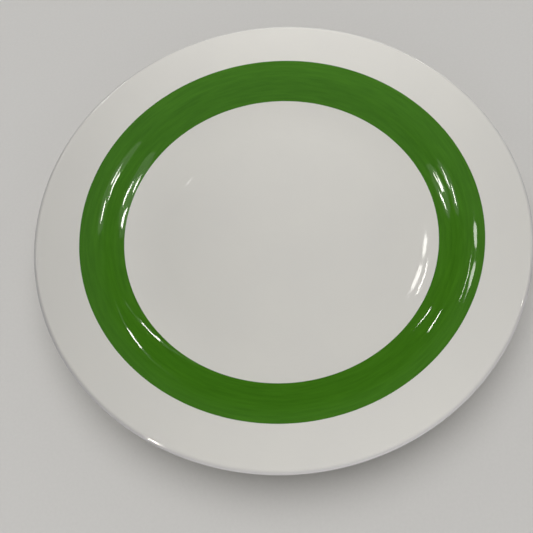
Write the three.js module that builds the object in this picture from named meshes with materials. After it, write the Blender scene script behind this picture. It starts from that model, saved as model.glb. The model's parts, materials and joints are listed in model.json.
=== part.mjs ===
// A china dinner plate, made the way the real one is made: one fired clay body with its foot ring,
// a white glaze coat that runs over the face, round the lip and down the back to the foot, a second
// patch of glaze inside the foot ring, and one wide green band that sinks into the glaze on the face.
// Millimetres, +Z up. The origin is the centre of the circle that the foot ring stands on.
//
// Every piece is a solid of revolution, so each one is a closed outline in radius and height that is
// turned about Z. All outlines are drawn from one glazed surface: a layer below it is the same
// surface moved inwards, square to itself, by the layer's depth.
import * as THREE from "three";

// ---- Driving dimensions, all to the glazed surface ----
const plateDiameter = 268.3; // over the lip
const rimWidth = 23.15; // lip's edge to the end of the shoulder
const shoulderWidth = 15; // convex bend between the rim and the steepest ring
const coveWidth = 31; // concave bend between the steepest ring and the flat well
const rimSlope = THREE.MathUtils.degToRad(10);
const steepestSlope = THREE.MathUtils.degToRad(32);
const wallThickness = 4.2; // square to the surface, glaze included
const floorThickening = 0.4; // extra thickness of the floor inside the foot ring

const whiteBorderWidth = 24.15; // lip's edge to the band's outer edge
const bandWidth = 22.5; // measured on the plan, like the widths above

const footHeight = 3; // table to the underside just outside the foot ring
const footWidth = 4.4;
const footEdgeRound = 0.9;
const footOuterFillet = 1.5;
const footInnerFillet = 1.2;

const glazeThickness = 0.3;
const bandDepth = 0.12; // how far the colour sinks into the glaze
const bondGap = 0.02; // clearance between two layers that are fused on the real plate

// ---- Fineness of the facets ----
const turnSteps = 64; // facets round the plate
const slopePerFacet = THREE.MathUtils.degToRad(8); // along the bends of the face
const lipSteps = 3; // above and below the lip's widest point
const filletSteps = 2;

// ---- Sizes that follow from the driving ones ----
const lipRadius = wallThickness / 2; // the lip is a full round of the wall
const plateRadius = plateDiameter / 2;
const rimEndRadius = plateRadius - lipRadius * (1 + Math.sin(rimSlope));
const shoulderRadius = plateRadius - rimWidth;
const steepestRadius = shoulderRadius - shoulderWidth;
const flatRadius = steepestRadius - coveWidth;
const bandOuterRadius = plateRadius - whiteBorderWidth;
const bandInnerRadius = bandOuterRadius - bandWidth;

const floorHeight = footHeight + wallThickness;
const recessHeight = footHeight - floorThickening;
const outerFillet = Math.min(footOuterFillet, footHeight - footEdgeRound);
const innerFillet = Math.min(footInnerFillet, recessHeight - footEdgeRound);
// The foot stands just inside the flat of the well, so it also lands on the flat of a plate stacked below.
const footOuterRadius = flatRadius - outerFillet;
const footInnerRadius = footOuterRadius - footWidth;
const glazeStopHeight = footEdgeRound; // the foot is wiped bare below its side walls

const bodyDepth = glazeThickness + bondGap;
const channelDepth = bandDepth + bondGap;

// ---- The glazed face ----
// Between two bends the sine of the slope changes evenly with the radius, which makes every stretch
// a straight line or an arc of a circle that runs smoothly into the next one.
const faceBends = [
  { radius: 0, slope: 0 },
  { radius: flatRadius, slope: 0 },
  { radius: steepestRadius, slope: steepestSlope },
  { radius: shoulderRadius, slope: rimSlope },
  { radius: rimEndRadius, slope: rimSlope },
];

// The rise of one stretch from its start to the radius given, and the slope there.
function climb(start, end, radius) {
  const [startSine, endSine] = [Math.sin(start.slope), Math.sin(end.slope)];
  if (startSine === endSine) {
    return { slope: start.slope, rise: (radius - start.radius) * Math.tan(start.slope) };
  }
  const bendRadius = (end.radius - start.radius) / (endSine - startSine);
  const slope = Math.asin(startSine + (radius - start.radius) / bendRadius);
  return { slope, rise: bendRadius * (Math.cos(start.slope) - Math.cos(slope)) };
}

// The point of the glazed face at a radius, with its slope.
function facePoint(radius) {
  let height = floorHeight;
  for (let i = 1; i < faceBends.length; i++) {
    const [start, end] = [faceBends[i - 1], faceBends[i]];
    const reached = Math.min(radius, end.radius);
    const { slope, rise } = climb(start, end, reached);
    height += rise;
    if (radius <= end.radius) return { radius, height, slope };
  }
  throw new RangeError(`the face ends at ${rimEndRadius}, before ${radius}`);
}

// A face point moved into the wall, square to the surface.
function inset({ radius, height, slope }, depth) {
  return new THREE.Vector2(radius + depth * Math.sin(slope), height - depth * Math.cos(slope));
}

// The radii where the face has a corner of its outline: each bend and band edge, and steps between them.
function faceRadii() {
  const breaks = [...faceBends.map((bend) => bend.radius), bandInnerRadius, bandOuterRadius];
  const sorted = [...new Set(breaks)].sort((a, b) => a - b);
  const radii = [sorted[0]];
  for (let i = 1; i < sorted.length; i++) {
    const [from, to] = [sorted[i - 1], sorted[i]];
    const turned = Math.abs(facePoint(to).slope - facePoint(from).slope);
    const steps = Math.max(1, Math.round(turned / slopePerFacet));
    for (let step = 1; step <= steps; step++) radii.push(from + ((to - from) * step) / steps);
  }
  return radii;
}
const stations = faceRadii();

// ---- Stretches of outline, each at a depth below the glazed surface ----
function arc(centreRadius, centreHeight, radius, fromAngle, toAngle, steps) {
  const points = [];
  for (let step = 0; step <= steps; step++) {
    const angle = fromAngle + ((toAngle - fromAngle) * step) / steps;
    points.push(
      new THREE.Vector2(centreRadius + radius * Math.cos(angle), centreHeight + radius * Math.sin(angle)),
    );
  }
  return points;
}

// From the middle of the well out to the start of the lip.
function faceOutline(depth) {
  return stations.map((radius) => inset(facePoint(radius), depth));
}

// Round the lip, from the face to the back. The ends belong to the face and the back.
function lipOutline(depth) {
  const centre = inset(facePoint(rimEndRadius), lipRadius);
  const faceEnd = Math.PI / 2 + rimSlope;
  const upper = arc(centre.x, centre.y, lipRadius - depth, faceEnd, 0, lipSteps);
  const lower = arc(centre.x, centre.y, lipRadius - depth, 0, faceEnd - Math.PI, lipSteps);
  return [...upper.slice(1), ...lower.slice(1, -1)];
}

// The back, from the lip in to the foot ring's fillet: the face again, one wall thickness lower.
function backOutline(depth) {
  const covered = stations.filter((radius) => radius >= flatRadius).reverse();
  return covered.map((radius) => inset(facePoint(radius), wallThickness - depth));
}

// The fillet outside the foot ring and the foot's outer side, down to a height.
function footOuterSide(depth, bottom) {
  const fillet = arc(
    flatRadius,
    footHeight - outerFillet,
    outerFillet + depth,
    Math.PI / 2,
    Math.PI,
    filletSteps,
  );
  return [...fillet.slice(1), new THREE.Vector2(footOuterRadius - depth, bottom)];
}

// The foot's inner side, up from a height, its fillet, and the ceiling of the recess to the axis.
function footInnerSide(depth, bottom) {
  const fillet = arc(
    footInnerRadius - innerFillet,
    recessHeight - innerFillet,
    innerFillet + depth,
    0,
    Math.PI / 2,
    filletSteps,
  );
  return [
    new THREE.Vector2(footInnerRadius + depth, bottom),
    ...fillet,
    new THREE.Vector2(0, recessHeight + depth),
  ];
}

// ---- The pieces ----
// Clay body: face, lip, back and foot ring in one, with the foot's bottom edges rounded.
function bodyOutline() {
  const outerEdge = arc(
    footOuterRadius - bodyDepth - footEdgeRound,
    footEdgeRound,
    footEdgeRound,
    0,
    -Math.PI / 2,
    filletSteps,
  );
  const innerEdge = arc(
    footInnerRadius + bodyDepth + footEdgeRound,
    footEdgeRound,
    footEdgeRound,
    -Math.PI / 2,
    -Math.PI,
    filletSteps,
  );
  return [
    ...faceOutline(bodyDepth),
    ...lipOutline(bodyDepth),
    ...backOutline(bodyDepth),
    ...footOuterSide(bodyDepth, footEdgeRound),
    ...outerEdge.slice(1),
    ...innerEdge,
    ...footInnerSide(bodyDepth, footEdgeRound).slice(1),
  ];
}

// White glaze: one coat from the middle of the face, over the lip, to the wiped edge of the foot.
// The face has a shallow channel where the band's colour sinks in.
function whiteGlazeOutline() {
  const face = [];
  for (const radius of stations) {
    const point = facePoint(radius);
    const inChannel = radius >= bandInnerRadius && radius <= bandOuterRadius;
    if (radius === bandInnerRadius) face.push(inset(point, 0));
    face.push(inset(point, inChannel ? channelDepth : 0));
    if (radius === bandOuterRadius) face.push(inset(point, 0));
  }
  const outside = [
    ...face,
    ...lipOutline(0),
    ...backOutline(0),
    ...footOuterSide(0, glazeStopHeight),
  ];
  const inside = [
    ...faceOutline(glazeThickness),
    ...lipOutline(glazeThickness),
    ...backOutline(glazeThickness),
    ...footOuterSide(glazeThickness, glazeStopHeight),
  ];
  return [...outside, ...inside.reverse()];
}

// Glaze inside the foot ring, cut off from the coat outside by the foot's bare edge.
function footRecessGlazeOutline() {
  return [
    ...footInnerSide(glazeThickness, glazeStopHeight).reverse(),
    ...footInnerSide(0, glazeStopHeight),
  ];
}

// Green band: level with the glazed face, and as deep as the colour sinks.
function greenBandOutline() {
  const [inner, outer] = [bandInnerRadius + bondGap, bandOuterRadius - bondGap];
  const radii = [inner, ...stations.filter((radius) => radius > inner && radius < outer), outer];
  const points = radii.map(facePoint);
  return [
    ...points.map((point) => inset(point, 0)),
    ...points.reverse().map((point) => inset(point, bandDepth)),
  ];
}

// Turns an outline about Z. LatheGeometry turns about Y and faces out when its outline runs
// anticlockwise, so the outlines above, which run clockwise from the axis, are reversed.
function turned(outline) {
  const ring = [...outline].reverse();
  if (!ring[0].equals(ring[ring.length - 1]) && ring[0].x > 0) ring.push(ring[0].clone());
  return new THREE.LatheGeometry(ring, turnSteps).rotateX(Math.PI / 2);
}

const whiteGlaze = new THREE.MeshStandardMaterial({ color: 0xe6e3dc, roughness: 0.08, metalness: 0 });
const greenColour = new THREE.MeshStandardMaterial({ color: 0x3d7a1f, roughness: 0.08, metalness: 0 });
const firedClay = new THREE.MeshStandardMaterial({ color: 0xded5c4, roughness: 0.75, metalness: 0 });

const pieces = [
  { name: "fired_body", outline: bodyOutline(), material: firedClay },
  { name: "white_glaze", outline: whiteGlazeOutline(), material: whiteGlaze },
  { name: "foot_recess_glaze", outline: footRecessGlazeOutline(), material: whiteGlaze },
  { name: "green_band", outline: greenBandOutline(), material: greenColour },
];

const plate = new THREE.Group();
for (const { name, outline, material } of pieces) {
  const mesh = new THREE.Mesh(turned(outline), material);
  mesh.name = name;
  plate.add(mesh);
}

export default plate;
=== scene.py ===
"""A china dinner plate: white glaze over a fired clay body, with one wide green band on the face.

Every piece is a solid of revolution about Z. Outlines are in millimetres, in radius and height, and
the meshes made from them are in metres, in the frame's own place. The frame gives the plate's size,
the height of the well and the place of the band; the bends between them are named below.
"""
import json
import math
import random

import bpy
import numpy as np
from mathutils import Matrix, Vector


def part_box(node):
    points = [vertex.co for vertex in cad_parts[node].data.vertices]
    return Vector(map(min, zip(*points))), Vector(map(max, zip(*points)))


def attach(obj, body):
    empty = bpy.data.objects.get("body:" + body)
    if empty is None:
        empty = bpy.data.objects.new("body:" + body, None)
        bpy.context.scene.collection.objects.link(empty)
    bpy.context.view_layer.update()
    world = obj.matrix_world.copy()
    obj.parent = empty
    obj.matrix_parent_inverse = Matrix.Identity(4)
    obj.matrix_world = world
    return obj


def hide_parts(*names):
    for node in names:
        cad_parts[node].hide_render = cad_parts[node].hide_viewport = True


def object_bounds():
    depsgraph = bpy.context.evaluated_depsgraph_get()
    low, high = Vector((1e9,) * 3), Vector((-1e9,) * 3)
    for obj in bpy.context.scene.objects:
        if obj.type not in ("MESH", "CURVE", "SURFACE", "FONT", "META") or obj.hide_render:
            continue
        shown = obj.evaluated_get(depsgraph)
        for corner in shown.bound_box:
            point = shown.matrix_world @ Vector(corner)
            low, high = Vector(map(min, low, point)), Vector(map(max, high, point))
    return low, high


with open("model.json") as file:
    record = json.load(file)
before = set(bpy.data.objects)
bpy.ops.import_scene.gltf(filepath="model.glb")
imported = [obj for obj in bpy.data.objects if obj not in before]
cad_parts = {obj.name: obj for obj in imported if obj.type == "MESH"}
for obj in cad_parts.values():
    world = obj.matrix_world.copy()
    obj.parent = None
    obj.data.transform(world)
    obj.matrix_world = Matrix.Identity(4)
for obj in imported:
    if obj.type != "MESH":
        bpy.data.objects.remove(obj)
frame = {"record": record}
cad_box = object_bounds()

# ---- Sizes, in millimetres ----
MM = 0.001  # metres

glaze_low, glaze_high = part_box("white_glaze")
_, recess_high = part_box("foot_recess_glaze")
mounts = {mount["name"]: mount for mount in frame["record"]["mounts"]}

PLATE_RADIUS = glaze_high.x / MM
FLOOR_HEIGHT = mounts["well_floor"]["pos_m"][2] / MM
WHITE_BORDER = 24.15  # lip's edge to the band's outer edge
BAND_OUTER = PLATE_RADIUS - WHITE_BORDER
BAND_WIDTH = 22.5
BAND_INNER = BAND_OUTER - BAND_WIDTH
GLAZE_STOP = glaze_low.z / MM  # the foot is bare below this
FOOT_INNER = recess_high.x / MM

RIM_WIDTH = 23.15
SHOULDER_WIDTH = 15.0
COVE_WIDTH = 31.0
RIM_SLOPE = math.radians(10)
STEEPEST_SLOPE = math.radians(32)
WALL = 4.2
FLOOR_THICKENING = 0.4
FOOT_HEIGHT = FLOOR_HEIGHT - WALL
FOOT_WIDTH = 4.4
FOOT_EDGE_ROUND = 0.9
FOOT_OUTER_FILLET = 1.5
FOOT_INNER_FILLET = 1.2
GLAZE = 0.3  # thickness of the coat
COLOUR_DEPTH = 0.12  # how far the green sinks into the coat

LIP_RADIUS = WALL / 2
RIM_END = PLATE_RADIUS - LIP_RADIUS * (1 + math.sin(RIM_SLOPE))
SHOULDER_RADIUS = PLATE_RADIUS - RIM_WIDTH
STEEPEST_RADIUS = SHOULDER_RADIUS - SHOULDER_WIDTH
FLAT_RADIUS = STEEPEST_RADIUS - COVE_WIDTH
FOOT_OUTER = FOOT_INNER + FOOT_WIDTH
RECESS_HEIGHT = FOOT_HEIGHT - FLOOR_THICKENING

# ---- Fineness ----
TURN_STEPS = 384
FACE_STEP = 1.4  # mm between rings on what shows
HIDDEN_STEP = 6.0  # mm between rings under the glaze
EDGE_SUPPORT = 0.08  # mm from a crisp edge to the ring that keeps it crisp
LIP_STEPS = 20
FILLET_STEPS = 6

# The cove and the shoulder are arcs, because the sine of the slope changes evenly with the radius.
FACE_BENDS = [
    (0.0, 0.0),
    (FLAT_RADIUS, 0.0),
    (STEEPEST_RADIUS, STEEPEST_SLOPE),
    (SHOULDER_RADIUS, RIM_SLOPE),
    (RIM_END, RIM_SLOPE),
]


# ---- Outlines ----
def face_point(radius):
    """Height and slope of the glazed face at a radius."""
    height = FLOOR_HEIGHT
    slope = 0.0
    for (start, slope_in), (end, slope_out) in zip(FACE_BENDS, FACE_BENDS[1:]):
        reached = min(radius, end) - start
        if slope_in == slope_out:
            slope = slope_in
            height += reached * math.tan(slope)
        else:
            bend = (end - start) / (math.sin(slope_out) - math.sin(slope_in))
            slope = math.asin(math.sin(slope_in) + reached / bend)
            height += bend * (math.cos(slope_in) - math.cos(slope))
        if radius <= end:
            break
    return height, slope


def inset(radius, depth):
    """The face's point at a radius, moved square to the surface into the wall."""
    height, slope = face_point(radius)
    return radius + depth * math.sin(slope), height - depth * math.cos(slope)


def spread(start, end, step):
    """Radii from start to end, evenly, at most a step apart."""
    count = max(1, math.ceil(abs(end - start) / step))
    return [start + (end - start) * i / count for i in range(count + 1)]


def joined(*stretches):
    """One outline from several, without the points that two of them share."""
    points = []
    for stretch in stretches:
        for point in stretch:
            if not points or math.dist(points[-1], point) > 1e-6:
                points.append(point)
    return points


def arc(centre, radius, start, end, steps):
    """Points on a circle from one angle to another, in degrees."""
    angles = [math.radians(start + (end - start) * i / steps) for i in range(steps + 1)]
    return [(centre[0] + radius * math.cos(a), centre[1] + radius * math.sin(a)) for a in angles]


def face(start, end, depth, step):
    """The face from one radius to another, with close rings beside each crisp edge."""
    outward = 1 if end > start else -1
    ends = [start, start + outward * EDGE_SUPPORT, end - outward * EDGE_SUPPORT, end]
    return joined(
        [inset(r, depth) for r in spread(ends[0], ends[1], step)],
        [inset(r, depth) for r in spread(ends[1], ends[2], step)],
        [inset(r, depth) for r in spread(ends[2], ends[3], step)],
    )


def lip(depth):
    """Round the lip, from the face to the back."""
    top = 90 + math.degrees(RIM_SLOPE)
    return arc(inset(RIM_END, LIP_RADIUS), LIP_RADIUS - depth, top, top - 180, LIP_STEPS)


def outer_foot_side(depth, bottom):
    """The fillet outside the foot ring and the foot's outer side, down to a height."""
    fillet = arc(
        (FLAT_RADIUS, FOOT_HEIGHT - FOOT_OUTER_FILLET), FOOT_OUTER_FILLET + depth, 90, 180, FILLET_STEPS
    )
    return fillet + [(FOOT_OUTER - depth, bottom)]


def inner_foot_side(depth, bottom, step):
    """The foot's inner side, up from a height, its fillet, and the recess's ceiling to the axis."""
    corner = (FOOT_INNER - FOOT_INNER_FILLET, RECESS_HEIGHT - FOOT_INNER_FILLET)
    ceiling = [(r, RECESS_HEIGHT + depth) for r in spread(corner[0], 0.0, step)]
    return joined(
        [(FOOT_INNER + depth, bottom)],
        arc(corner, FOOT_INNER_FILLET + depth, 0, 90, FILLET_STEPS),
        ceiling,
    )


def body_outline():
    """Clay body under the glaze: face, lip, back, foot ring with its bare rounded edge, and recess."""
    outer_edge = arc(
        (FOOT_OUTER - GLAZE - FOOT_EDGE_ROUND, FOOT_EDGE_ROUND), FOOT_EDGE_ROUND, 0, -90, FILLET_STEPS
    )
    inner_edge = arc(
        (FOOT_INNER + GLAZE + FOOT_EDGE_ROUND, FOOT_EDGE_ROUND), FOOT_EDGE_ROUND, -90, -180, FILLET_STEPS
    )
    return joined(
        face(0.0, RIM_END, GLAZE, HIDDEN_STEP),
        lip(GLAZE),
        face(RIM_END, FLAT_RADIUS, WALL - GLAZE, HIDDEN_STEP),
        outer_foot_side(GLAZE, FOOT_EDGE_ROUND),
        outer_edge,
        inner_edge,
        inner_foot_side(GLAZE, FOOT_EDGE_ROUND, HIDDEN_STEP),
    )


def glaze_bead(side, radius):
    """The rounded end of a glaze coat at the foot's wiped edge, in from the radius given."""
    centre = (radius - GLAZE / 2, GLAZE_STOP + GLAZE / 2)
    return arc(centre, GLAZE / 2, *side, FILLET_STEPS)


def white_glaze_outline():
    """The white coat from the middle of the face to the outside of the foot, with the band's channel."""
    skin = joined(
        face(0.0, BAND_INNER, 0.0, FACE_STEP),
        face(BAND_INNER, BAND_OUTER, COLOUR_DEPTH, HIDDEN_STEP),
        face(BAND_OUTER, RIM_END, 0.0, FACE_STEP),
        lip(0.0),
        face(RIM_END, FLAT_RADIUS, WALL, FACE_STEP),
        outer_foot_side(0.0, GLAZE_STOP + GLAZE / 2),
        glaze_bead((360, 180), FOOT_OUTER),
    )
    under = joined(
        face(0.0, RIM_END, GLAZE, HIDDEN_STEP),
        lip(GLAZE),
        face(RIM_END, FLAT_RADIUS, WALL - GLAZE, HIDDEN_STEP),
        outer_foot_side(GLAZE, GLAZE_STOP + GLAZE / 2),
    )
    return joined(skin, reversed(under))


def recess_glaze_outline():
    """The glaze inside the foot ring, from the wiped edge to the axis."""
    skin = inner_foot_side(0.0, GLAZE_STOP + GLAZE / 2, FACE_STEP * 2)
    under = inner_foot_side(GLAZE, GLAZE_STOP + GLAZE / 2, HIDDEN_STEP)
    return joined(reversed(under), glaze_bead((360, 180), FOOT_INNER + GLAZE), skin)


def green_band_outline():
    """The green ring, level with the face, as deep as the colour sinks."""
    return joined(
        face(BAND_INNER, BAND_OUTER, 0.0, FACE_STEP),
        face(BAND_OUTER, BAND_INNER, COLOUR_DEPTH, HIDDEN_STEP),
    )


# ---- What firing does to a true shape ----
# The same shift is applied to every piece, so what fits stays fitted.
RIM_WARP = 0.15  # mm, up and down, at the lip
OVALITY = 0.12  # mm, in radius, at the lip
WAVE_HEIGHT = 0.0016  # mm, of one of the many waves in the glaze's surface
WAVE_LENGTHS = (9.0, 26.0)  # mm
WAVE_COUNT = 40
WIPE_WANDER = 0.22  # mm, up and down, of the edge where the foot was wiped


def fired(points):
    """Moves true points, an array in millimetres, to where the kiln leaves them."""
    x, y, z = points.T
    radius = np.hypot(x, y)
    angle = np.arctan2(y, x)
    outward = np.clip(radius / PLATE_RADIUS, 0, 1) ** 3
    warp = RIM_WARP * outward * (0.7 * np.sin(2 * angle + 0.6) + 0.4 * np.sin(3 * angle + 2.1))
    oval = OVALITY * outward * (0.8 * np.cos(2 * angle + 1.3) + 0.3 * np.cos(5 * angle + 0.4))
    draw = random.Random(7)
    waves = np.zeros(len(x))
    for _ in range(WAVE_COUNT):
        length = draw.uniform(*WAVE_LENGTHS)
        heading = draw.uniform(0, math.tau)
        phase = draw.uniform(0, math.tau)
        along = x * math.cos(heading) + y * math.sin(heading)
        waves += WAVE_HEIGHT * np.sin(math.tau * along / length + phase)
    above_foot = np.clip((z - GLAZE_STOP) / FOOT_HEIGHT, 0, 1)
    wander = 0.5 * np.sin(5 * angle) + 0.3 * np.sin(13 * angle + 1) + 0.2 * np.sin(29 * angle + 4)
    at_wipe = np.clip(1 - np.abs(z - GLAZE_STOP) / GLAZE_STOP, 0, 1)
    stretch = 1 + oval / np.maximum(radius, 1)
    lift = (warp + waves) * above_foot + WIPE_WANDER * wander * at_wipe
    return np.column_stack([x * stretch, y * stretch, z + lift])


# ---- Meshes ----
def revolve(name, outline):
    """A closed mesh from an outline that runs clockwise, turned about Z."""
    angles = [math.tau * j / TURN_STEPS for j in range(TURN_STEPS)]
    points = []
    rings = []
    for radius, height in outline:
        start = len(points)
        if radius < 1e-6:
            points.append((0.0, 0.0, height))
            rings.append([start] * TURN_STEPS)
        else:
            points += [(radius * math.cos(a), radius * math.sin(a), height) for a in angles]
            rings.append(list(range(start, start + TURN_STEPS)))
    pairs = list(zip(rings, rings[1:]))
    if outline[0][0] > 1e-6:
        pairs.append((rings[-1], rings[0]))
    faces = []
    for inner, outer in pairs:
        for j in range(TURN_STEPS):
            k = (j + 1) % TURN_STEPS
            corners = (inner[j], outer[j], outer[k], inner[k])
            faces.append(tuple(dict.fromkeys(corners)))
    mesh = bpy.data.meshes.new(name)
    mesh.from_pydata((fired(np.array(points)) * MM).tolist(), [], faces)
    mesh.polygons.foreach_set("use_smooth", [True] * len(faces))
    mesh.set_sharp_from_angle(angle=math.radians(40))
    mesh.validate()
    piece = bpy.data.objects.new(name, mesh)
    bpy.context.scene.collection.objects.link(piece)
    return piece


# ---- Materials ----
LIP_SHADE_WIDTH = 2.2  # mm in from the edge where the painted shade on the lip starts
TURN_WAVES = 5.0  # pattern units in one radian round the turn
RIDGE_SPACING = 1.6  # mm between the ridges and brush streaks of the wheel
PATCH = 22.0  # mm, of a patch of one gloss
CLOUD = 38.0  # mm, of a patch of one tone in the white
PEEL = 2.6  # mm, of one dimple in the gloss
CLAY_GRAIN = 0.45  # mm
RUB_WAVES = 14.0  # pattern units in one radian, of the grey marks on the foot
RUB_SPACING = 0.9  # mm between those marks
RUB_HEIGHT = 0.25  # mm above the table where they end
PAINT_TOOTH = 1.5  # mm


def linear(hex_colour, alpha=1.0):
    """An sRGB hex colour as linear values."""
    values = [int(hex_colour[i : i + 2], 16) / 255 for i in (1, 3, 5)]
    return [v / 12.92 if v <= 0.04045 else ((v + 0.055) / 1.055) ** 2.4 for v in values] + [alpha]


def add(tree, kind, inputs=None, **settings):
    """Adds a node, sets its settings, and sets or links its inputs."""
    node = tree.nodes.new("ShaderNode" + kind)
    for name, value in settings.items():
        setattr(node, name, value)
    for name, value in (inputs or {}).items():
        if isinstance(value, bpy.types.NodeSocket):
            tree.links.new(value, node.inputs[name])
        else:
            node.inputs[name].default_value = value
    return node


def new_material(name):
    """An empty node material and its tree."""
    material = bpy.data.materials.new(name)
    material.use_nodes = True
    material.node_tree.nodes.clear()
    return material, material.node_tree


def place_in_frame(tree):
    """The point in the row frame, in metres."""
    return add(tree, "TexCoord").outputs["Object"]


def place_round_axis(tree, place, around, across):
    """A place for patterns made on the wheel: slow along the turn, and quick from ring to ring.

    around is the number of pattern units in one radian, and across the number in one metre of radius.
    It also gives the radius, in metres."""
    parts = add(tree, "SeparateXYZ", {"Vector": place})
    flat = add(tree, "CombineXYZ", {"X": parts.outputs["X"], "Y": parts.outputs["Y"]}).outputs[0]
    length = add(tree, "VectorMath", {0: flat}, operation="LENGTH").outputs["Value"]
    direction = add(tree, "VectorMath", {0: flat}, operation="NORMALIZE").outputs["Vector"]
    turned = add(tree, "VectorMath", {0: direction, "Scale": around}, operation="SCALE").outputs["Vector"]
    radial = add(tree, "Math", {0: length, 1: across}, operation="MULTIPLY").outputs[0]
    lifted = add(tree, "CombineXYZ", {"Z": radial}).outputs[0]
    return add(tree, "VectorMath", {0: turned, 1: lifted}, operation="ADD").outputs["Vector"], length


def specks(tree, place, spacing, radius, share):
    """1 in small round specks, 0 elsewhere: one speck to a cell of the spacing, in a share of the cells.

    Sizes are in millimetres."""
    cells = add(
        tree, "TexVoronoi", {"Vector": place, "Scale": 1 / (spacing * MM), "Randomness": 1.0},
        feature="F1", voronoi_dimensions="3D",
    )
    near = add(
        tree, "MapRange",
        {
            "Value": cells.outputs["Distance"],
            "From Min": radius / spacing,
            "From Max": 0.4 * radius / spacing,
        },
        interpolation_type="SMOOTHSTEP",
    ).outputs[0]
    chosen = add(tree, "SeparateColor", {"Color": cells.outputs["Color"]}).outputs["Red"]
    kept = add(tree, "Math", {0: chosen, 1: share}, operation="LESS_THAN").outputs[0]
    return add(tree, "Math", {0: near, 1: kept}, operation="MULTIPLY").outputs[0]


def glaze_relief(tree, place, round_place, peel_mm, ridge_mm):
    """The bump of a fired glaze: a fine peel all over, and ridges left by the turning wheel."""
    peel = add(
        tree, "TexNoise", {"Vector": place, "Scale": 1 / (PEEL * MM), "Detail": 2.0, "Roughness": 0.45}
    ).outputs["Fac"]
    ridges = add(
        tree, "TexNoise", {"Vector": round_place, "Scale": 1.0, "Detail": 1.0, "Roughness": 0.4}
    ).outputs["Fac"]
    first = add(tree, "Bump", {"Height": peel, "Distance": peel_mm * MM, "Strength": 1.0}).outputs[0]
    return add(
        tree, "Bump", {"Height": ridges, "Distance": ridge_mm * MM, "Strength": 1.0, "Normal": first}
    ).outputs[0]


def white_china_glaze():
    """Clear glossy glaze over white china clay, dipped and fired.

    The eye sees a warm white with a cloudy change of tone where the coat is thicker, a painted lavender-grey
    shade over the lip that stands in for its shading and dark reflection, a few iron specks, and sharp
    reflections that ripple a little."""
    material, tree = new_material("fired_white_china_glaze")
    place = place_in_frame(tree)
    round_place, radius = place_round_axis(tree, place, around=TURN_WAVES, across=1 / (RIDGE_SPACING * MM))
    cloud = add(
        tree, "TexNoise", {"Vector": place, "Scale": 1 / (CLOUD * MM), "Detail": 3.0, "Roughness": 0.5}
    ).outputs["Fac"]
    tone = add(
        tree, "Mix", {"Factor": cloud, "A": linear("#E4E2DB"), "B": linear("#DEDCD7")},
        data_type="RGBA",
    )
    # Painted shade: the last few mm to the lip are blended to lavender-grey, standing in for the lip's
    # shading and dark reflection.
    lip_shade = add(
        tree, "MapRange",
        {
            "Value": radius,
            "From Min": (PLATE_RADIUS - LIP_SHADE_WIDTH) * MM,
            "From Max": PLATE_RADIUS * MM,
            "To Max": 0.7,
        },
        interpolation_type="SMOOTHSTEP",
    ).outputs[0]
    lip_shaded = add(
        tree, "Mix", {"Factor": lip_shade, "A": tone.outputs["Result"], "B": linear("#CFCCD0")}, data_type="RGBA"
    )
    dots = specks(tree, place, spacing=17.0, radius=0.28, share=0.10)
    dotted = add(
        tree, "Mix", {"Factor": dots, "A": lip_shaded.outputs["Result"], "B": linear("#8F8678")}, data_type="RGBA"
    )
    patch = add(tree, "TexNoise", {"Vector": place, "Scale": 1 / (PATCH * MM), "Detail": 2.0}).outputs["Fac"]
    rough = add(tree, "MapRange", {"Value": patch, "To Min": 0.03, "To Max": 0.06}).outputs[0]
    shader = add(
        tree, "BsdfPrincipled",
        {
            "Base Color": dotted.outputs["Result"],
            "Roughness": rough,
            "IOR": 1.5,
            "Normal": glaze_relief(tree, place, round_place, peel_mm=0.0014, ridge_mm=0.014),
        },
    )
    add(tree, "OutputMaterial", {"Surface": shader.outputs["BSDF"]})
    return material


def green_in_glaze_colour():
    """Chrome green stain banded on the turning plate and melted into the glaze.

    The eye sees a deep leaf green with faint rings and streaks where the brush laid more or less of
    it, a few pinholes that show lighter, and the same sharp gloss as the white."""
    material, tree = new_material("chrome_green_in_glaze_stain")
    place = place_in_frame(tree)
    round_place, _ = place_round_axis(tree, place, around=TURN_WAVES, across=1 / (RIDGE_SPACING * MM))
    streaks = add(
        tree, "TexNoise", {"Vector": round_place, "Scale": 1.0, "Detail": 4.0, "Roughness": 0.6}
    ).outputs["Fac"]
    tone = add(
        tree, "Mix",
        {
            "Factor": add(
                tree, "MapRange", {"Value": streaks, "From Min": 0.3, "From Max": 0.7},
            ).outputs[0],
            "A": linear("#3A6E13"),
            "B": linear("#447B19"),
        },
        data_type="RGBA",
    )
    dots = specks(tree, place, spacing=9.0, radius=0.35, share=0.07)
    dotted = add(
        tree, "Mix", {"Factor": dots, "A": tone.outputs["Result"], "B": linear("#6B9A4C")}, data_type="RGBA"
    )
    patch = add(tree, "TexNoise", {"Vector": place, "Scale": 1 / (PATCH * MM), "Detail": 2.0}).outputs["Fac"]
    rough = add(tree, "MapRange", {"Value": patch, "To Min": 0.03, "To Max": 0.05}).outputs[0]
    shader = add(
        tree, "BsdfPrincipled",
        {
            "Base Color": dotted.outputs["Result"],
            "Roughness": rough,
            "IOR": 1.5,
            "Normal": glaze_relief(tree, place, round_place, peel_mm=0.0014, ridge_mm=0.022),
        },
    )
    add(tree, "OutputMaterial", {"Surface": shader.outputs["BSDF"]})
    return material


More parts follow.
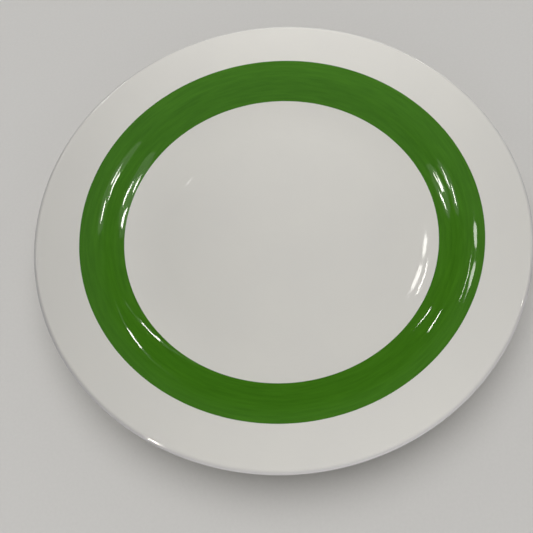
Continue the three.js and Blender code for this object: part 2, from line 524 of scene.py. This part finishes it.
def bare_china_clay():
    """Fired china clay, wiped clean of glaze and ground on the shelf.

    The eye sees a dull cream ring with a sandy grain, and grey marks where the foot has slid on tables."""
    material, tree = new_material("bare_fired_china_clay")
    place = place_in_frame(tree)
    round_place, _ = place_round_axis(tree, place, around=RUB_WAVES, across=1 / (RUB_SPACING * MM))
    grain = add(
        tree, "TexNoise", {"Vector": place, "Scale": 1 / (CLAY_GRAIN * MM), "Detail": 3.0, "Roughness": 0.7}
    ).outputs["Fac"]
    clay = add(
        tree, "Mix", {"Factor": grain, "A": linear("#E4DCCB"), "B": linear("#CDC3B0")}, data_type="RGBA"
    )
    rubs = add(
        tree, "TexNoise", {"Vector": round_place, "Scale": 1.0, "Detail": 3.0, "Roughness": 0.6}
    ).outputs["Fac"]
    height = add(tree, "SeparateXYZ", {"Vector": place}).outputs["Z"]
    standing = add(
        tree, "MapRange",
        {"Value": height, "From Min": 0.0, "From Max": RUB_HEIGHT * MM, "To Min": 1.0, "To Max": 0.0},
    ).outputs[0]
    rubbed = add(
        tree, "MapRange", {"Value": rubs, "From Min": 0.45, "From Max": 0.7, "To Max": 0.6}
    ).outputs[0]
    marks = add(tree, "Math", {0: standing, 1: rubbed}, operation="MULTIPLY").outputs[0]
    marked = add(
        tree, "Mix", {"Factor": marks, "A": clay.outputs["Result"], "B": linear("#8E8A84")}, data_type="RGBA"
    )
    shader = add(
        tree, "BsdfPrincipled",
        {
            "Base Color": marked.outputs["Result"],
            "Roughness": 0.82,
            "IOR": 1.5,
            "Normal": add(
                tree, "Bump", {"Height": grain, "Distance": 0.05 * MM, "Strength": 1.0}
            ).outputs[0],
        },
    )
    add(tree, "OutputMaterial", {"Surface": shader.outputs["BSDF"]})
    return material


def painted_board():
    """Matt pale paint on a board, for the floor: an even light grey with a very fine tooth."""
    material, tree = new_material("matt_pale_paint")
    place = place_in_frame(tree)
    tooth = add(
        tree, "TexNoise", {"Vector": place, "Scale": 1 / (PAINT_TOOTH * MM), "Detail": 3.0}
    ).outputs["Fac"]
    tone = add(
        tree, "Mix", {"Factor": tooth, "A": linear("#CFCDC9"), "B": linear("#C9C7C3")}, data_type="RGBA"
    )
    shader = add(
        tree, "BsdfPrincipled",
        {
            "Base Color": tone.outputs["Result"],
            "Roughness": 0.7,
            "Normal": add(
                tree, "Bump", {"Height": tooth, "Distance": 0.02 * MM, "Strength": 1.0}
            ).outputs[0],
        },
    )
    add(tree, "OutputMaterial", {"Surface": shader.outputs["BSDF"]})
    return material


# ---- The plate ----
white = white_china_glaze()
PIECES = [
    ("china_body", body_outline(), bare_china_clay(), "fired_body", "fired_clay"),
    ("white_coat", white_glaze_outline(), white, "white_glaze", "white_glaze"),
    ("recess_coat", recess_glaze_outline(), white, "foot_recess_glaze", "white_glaze"),
    ("green_ring", green_band_outline(), green_in_glaze_colour(), "green_band", "green_glaze_colour"),
]
plate = []
for name, outline, material, node, slot in PIECES:
    piece = revolve(name, outline)
    plate.append(piece)
    piece.data.materials.append(material)
    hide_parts(node)
    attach(piece, "root")

# ---- Floor ----
FLOOR_SIZE = 8.0
floor_mesh = bpy.data.meshes.new("floor")
half = FLOOR_SIZE / 2
floor_mesh.from_pydata(
    [(-half, -half, 0), (half, -half, 0), (half, half, 0), (-half, half, 0)], [], [(0, 1, 2, 3)]
)
floor = bpy.data.objects.new("floor", floor_mesh)
floor.data.materials.append(painted_board())
bpy.context.scene.collection.objects.link(floor)


# ---- Light ----
PANEL_COLOUR = "#FFFEFC"
LAMP_COLOUR = "#FFFCF6"
AIR_COLOUR = "#FBFCFF"
CEILING = 1.5  # metres above the floor
BACKDROP = 0.55  # strengths of the world, in W/m2 sr
WALLS = 0.02
ROOM_CEILING = 0.22
BACKDROP_FADE = (0.42, 0.85)  # heights in the world between which the backdrop ends
ROOM_FADE = (0.45, 1.0)  # and between which the walls turn into the ceiling


def lights_only(light, lit):
    """Limits a light to the objects given."""
    light.light_linking.receiver_collection = bpy.data.collections.new(light.name + "_lights")
    for lit_object in lit:
        light.light_linking.receiver_collection.objects.link(lit_object)


def area_light(name, place, shape, size, power, colour):
    """A flat light that faces straight down. Sizes in metres, power in watts."""
    data = bpy.data.lights.new(name, "AREA")
    data.shape = shape
    data.size, data.size_y = size
    data.energy = power
    data.color = linear(colour)[:3]
    light = bpy.data.objects.new(name, data)
    light.location = place
    light.visible_camera = False
    bpy.context.scene.collection.objects.link(light)
    return light


def soft_panel(name, place, size, power):
    """A panel turned to the plate's place. It lights the plate and is no reflection in the glaze."""
    light = area_light(name, place, "RECTANGLE", size, power, PANEL_COLOUR)
    light.rotation_euler = (-Vector(place)).to_track_quat("-Z", "Y").to_euler()
    light.visible_glossy = False
    lights_only(light, plate)


def floor_light(strength, spread_angle, tilt):
    """A very soft light on the floor alone, from above and a little behind, the same all over it.

    Strength in W/m2, angles in degrees."""
    data = bpy.data.lights.new("floor_light", "SUN")
    data.energy = strength
    data.angle = math.radians(spread_angle)
    light = bpy.data.objects.new("floor_light", data)
    light.rotation_euler = (math.radians(-tilt), 0, 0)
    bpy.context.scene.collection.objects.link(light)
    lights_only(light, [floor])


def ceiling_light(name, x, y, heading, size, radiance):
    """A long oval light overhead, which only shows as a reflection in the glaze.

    heading is the direction of its long side, in degrees from +X. The radiance is in W/m2 sr."""
    power = radiance * math.pi * math.pi / 4 * size[0] * size[1]
    light = area_light(name, (x, y, CEILING), "ELLIPSE", size, power, LAMP_COLOUR)
    light.rotation_euler = (0, 0, math.radians(heading))
    light.visible_diffuse = False


def studio_air():
    """A pale backdrop all round that lights the plate's sides, and a room that only the glaze mirrors.

    The room has a bright ceiling and darker walls, which gives the gloss its tones."""
    world = bpy.data.worlds.new("studio_air")
    bpy.context.scene.world = world
    world.use_nodes = True
    tree = world.node_tree
    height = add(tree, "SeparateXYZ", {"Vector": add(tree, "TexCoord").outputs["Generated"]}).outputs["Z"]
    backdrop = add(
        tree, "MapRange",
        {
            "Value": height,
            "From Min": BACKDROP_FADE[0],
            "From Max": BACKDROP_FADE[1],
            "To Min": BACKDROP,
            "To Max": 0.0,
        },
        interpolation_type="SMOOTHSTEP",
    ).outputs[0]
    room = add(
        tree, "MapRange",
        {
            "Value": height,
            "From Min": ROOM_FADE[0],
            "From Max": ROOM_FADE[1],
            "To Min": WALLS,
            "To Max": ROOM_CEILING,
        },
        interpolation_type="SMOOTHSTEP",
    ).outputs[0]
    mirrored = add(tree, "LightPath").outputs["Is Glossy Ray"]
    strength = add(tree, "Mix", {"Factor": mirrored, "A": backdrop, "B": room}).outputs["Result"]
    background = tree.nodes["Background"]
    background.inputs["Color"].default_value = linear(AIR_COLOUR)
    tree.links.new(strength, background.inputs["Strength"])


studio_air()

# The plate's own soft light comes low from behind and from the front, so the well is a little
# darker than the rim. The floor has a broad light of its own, which keeps it even and pale.
PANEL = (0.22, 0.15)  # metres
soft_panel("back_panel", (0.06, 0.224, 0.253), PANEL, 0.56)
soft_panel("front_panel", (0.03, -0.225, 0.253), PANEL, 0.385)
floor_light(strength=2.05, spread_angle=70, tilt=12)

# The lamps overhead are oval tubes, most of them with a dim glow round them. The middle ones are
# rounder and dimmer. The last one is far brighter: it is there for the thin highlight on the near
# lip, and seen from straight above it also shows on the band.
BRIGHT = 45  # radiances, in W/m2 sr
GLARE = 180
CLEAR = 22.4
HAZY = 11.2
GLOW = 0.7
ceiling_light("right_tube_a", 0.80, 0.33, 65, (0.16, 0.03), BRIGHT)
ceiling_light("right_tube_b", 0.97, 0.38, 62, (0.26, 0.04), BRIGHT)
ceiling_light("right_tube_c", 0.92, 0.60, 72, (0.18, 0.04), BRIGHT)
ceiling_light("right_glow", 0.88, 0.42, 68, (0.80, 0.36), GLOW)
ceiling_light("left_tube_a", -1.19, 0.75, 117, (0.28, 0.035), BRIGHT)
ceiling_light("left_tube_b", -1.12, 0.93, 117, (0.30, 0.035), BRIGHT)
ceiling_light("left_glow", -1.16, 0.85, 110, (0.70, 0.30), GLOW)
ceiling_light("far_right_tube", 1.10, 1.97, 151, (0.25, 0.07), BRIGHT)
ceiling_light("far_right_glow", 1.10, 1.97, 151, (0.90, 0.14), GLOW)
ceiling_light("far_left_tube", -0.96, 2.52, 200, (0.25, 0.13), BRIGHT)
ceiling_light("middle_lamp_a", -0.355, 0.925, 154, (0.14, 0.11), HAZY)
ceiling_light("middle_lamp_b", -0.262, 1.048, 137, (0.14, 0.095), HAZY)
ceiling_light("middle_tube", -0.425, 1.20, 68, (0.21, 0.035), CLEAR)
ceiling_light("near_left_lamp", -1.39, -1.03, 37, (0.40, 0.24), GLARE)

# ---- Camera ----
CAMERA_ELEVATION = math.radians(65.75)
CAMERA_DISTANCE = 0.3669
CAMERA_ROLL = math.radians(-8.84)
CAMERA_LENS = 47.28  # mm, on a 36 mm sensor
CAMERA_AIM = Vector((-0.0103, -0.0274, cad_box[1][2]))  # metres, at the lip's height
camera_data = bpy.data.cameras.new("camera")
camera_data.lens = CAMERA_LENS
camera_data.sensor_width = 36.0
camera_data.clip_start = 0.01
camera = bpy.data.objects.new("camera", camera_data)
back = Vector((0, -math.cos(CAMERA_ELEVATION), math.sin(CAMERA_ELEVATION)))
level_right = Vector((1, 0, 0))
level_up = back.cross(level_right)
right = math.cos(CAMERA_ROLL) * level_right + math.sin(CAMERA_ROLL) * level_up
up = back.cross(right)
camera.matrix_world = Matrix.Translation(CAMERA_AIM + CAMERA_DISTANCE * back) @ Matrix(
    (right, up, back)
).transposed().to_4x4()
bpy.context.scene.collection.objects.link(camera)
bpy.context.scene.camera = camera

bpy.context.scene.view_settings.view_transform = "Standard"
bpy.context.scene.view_settings.look = "None"
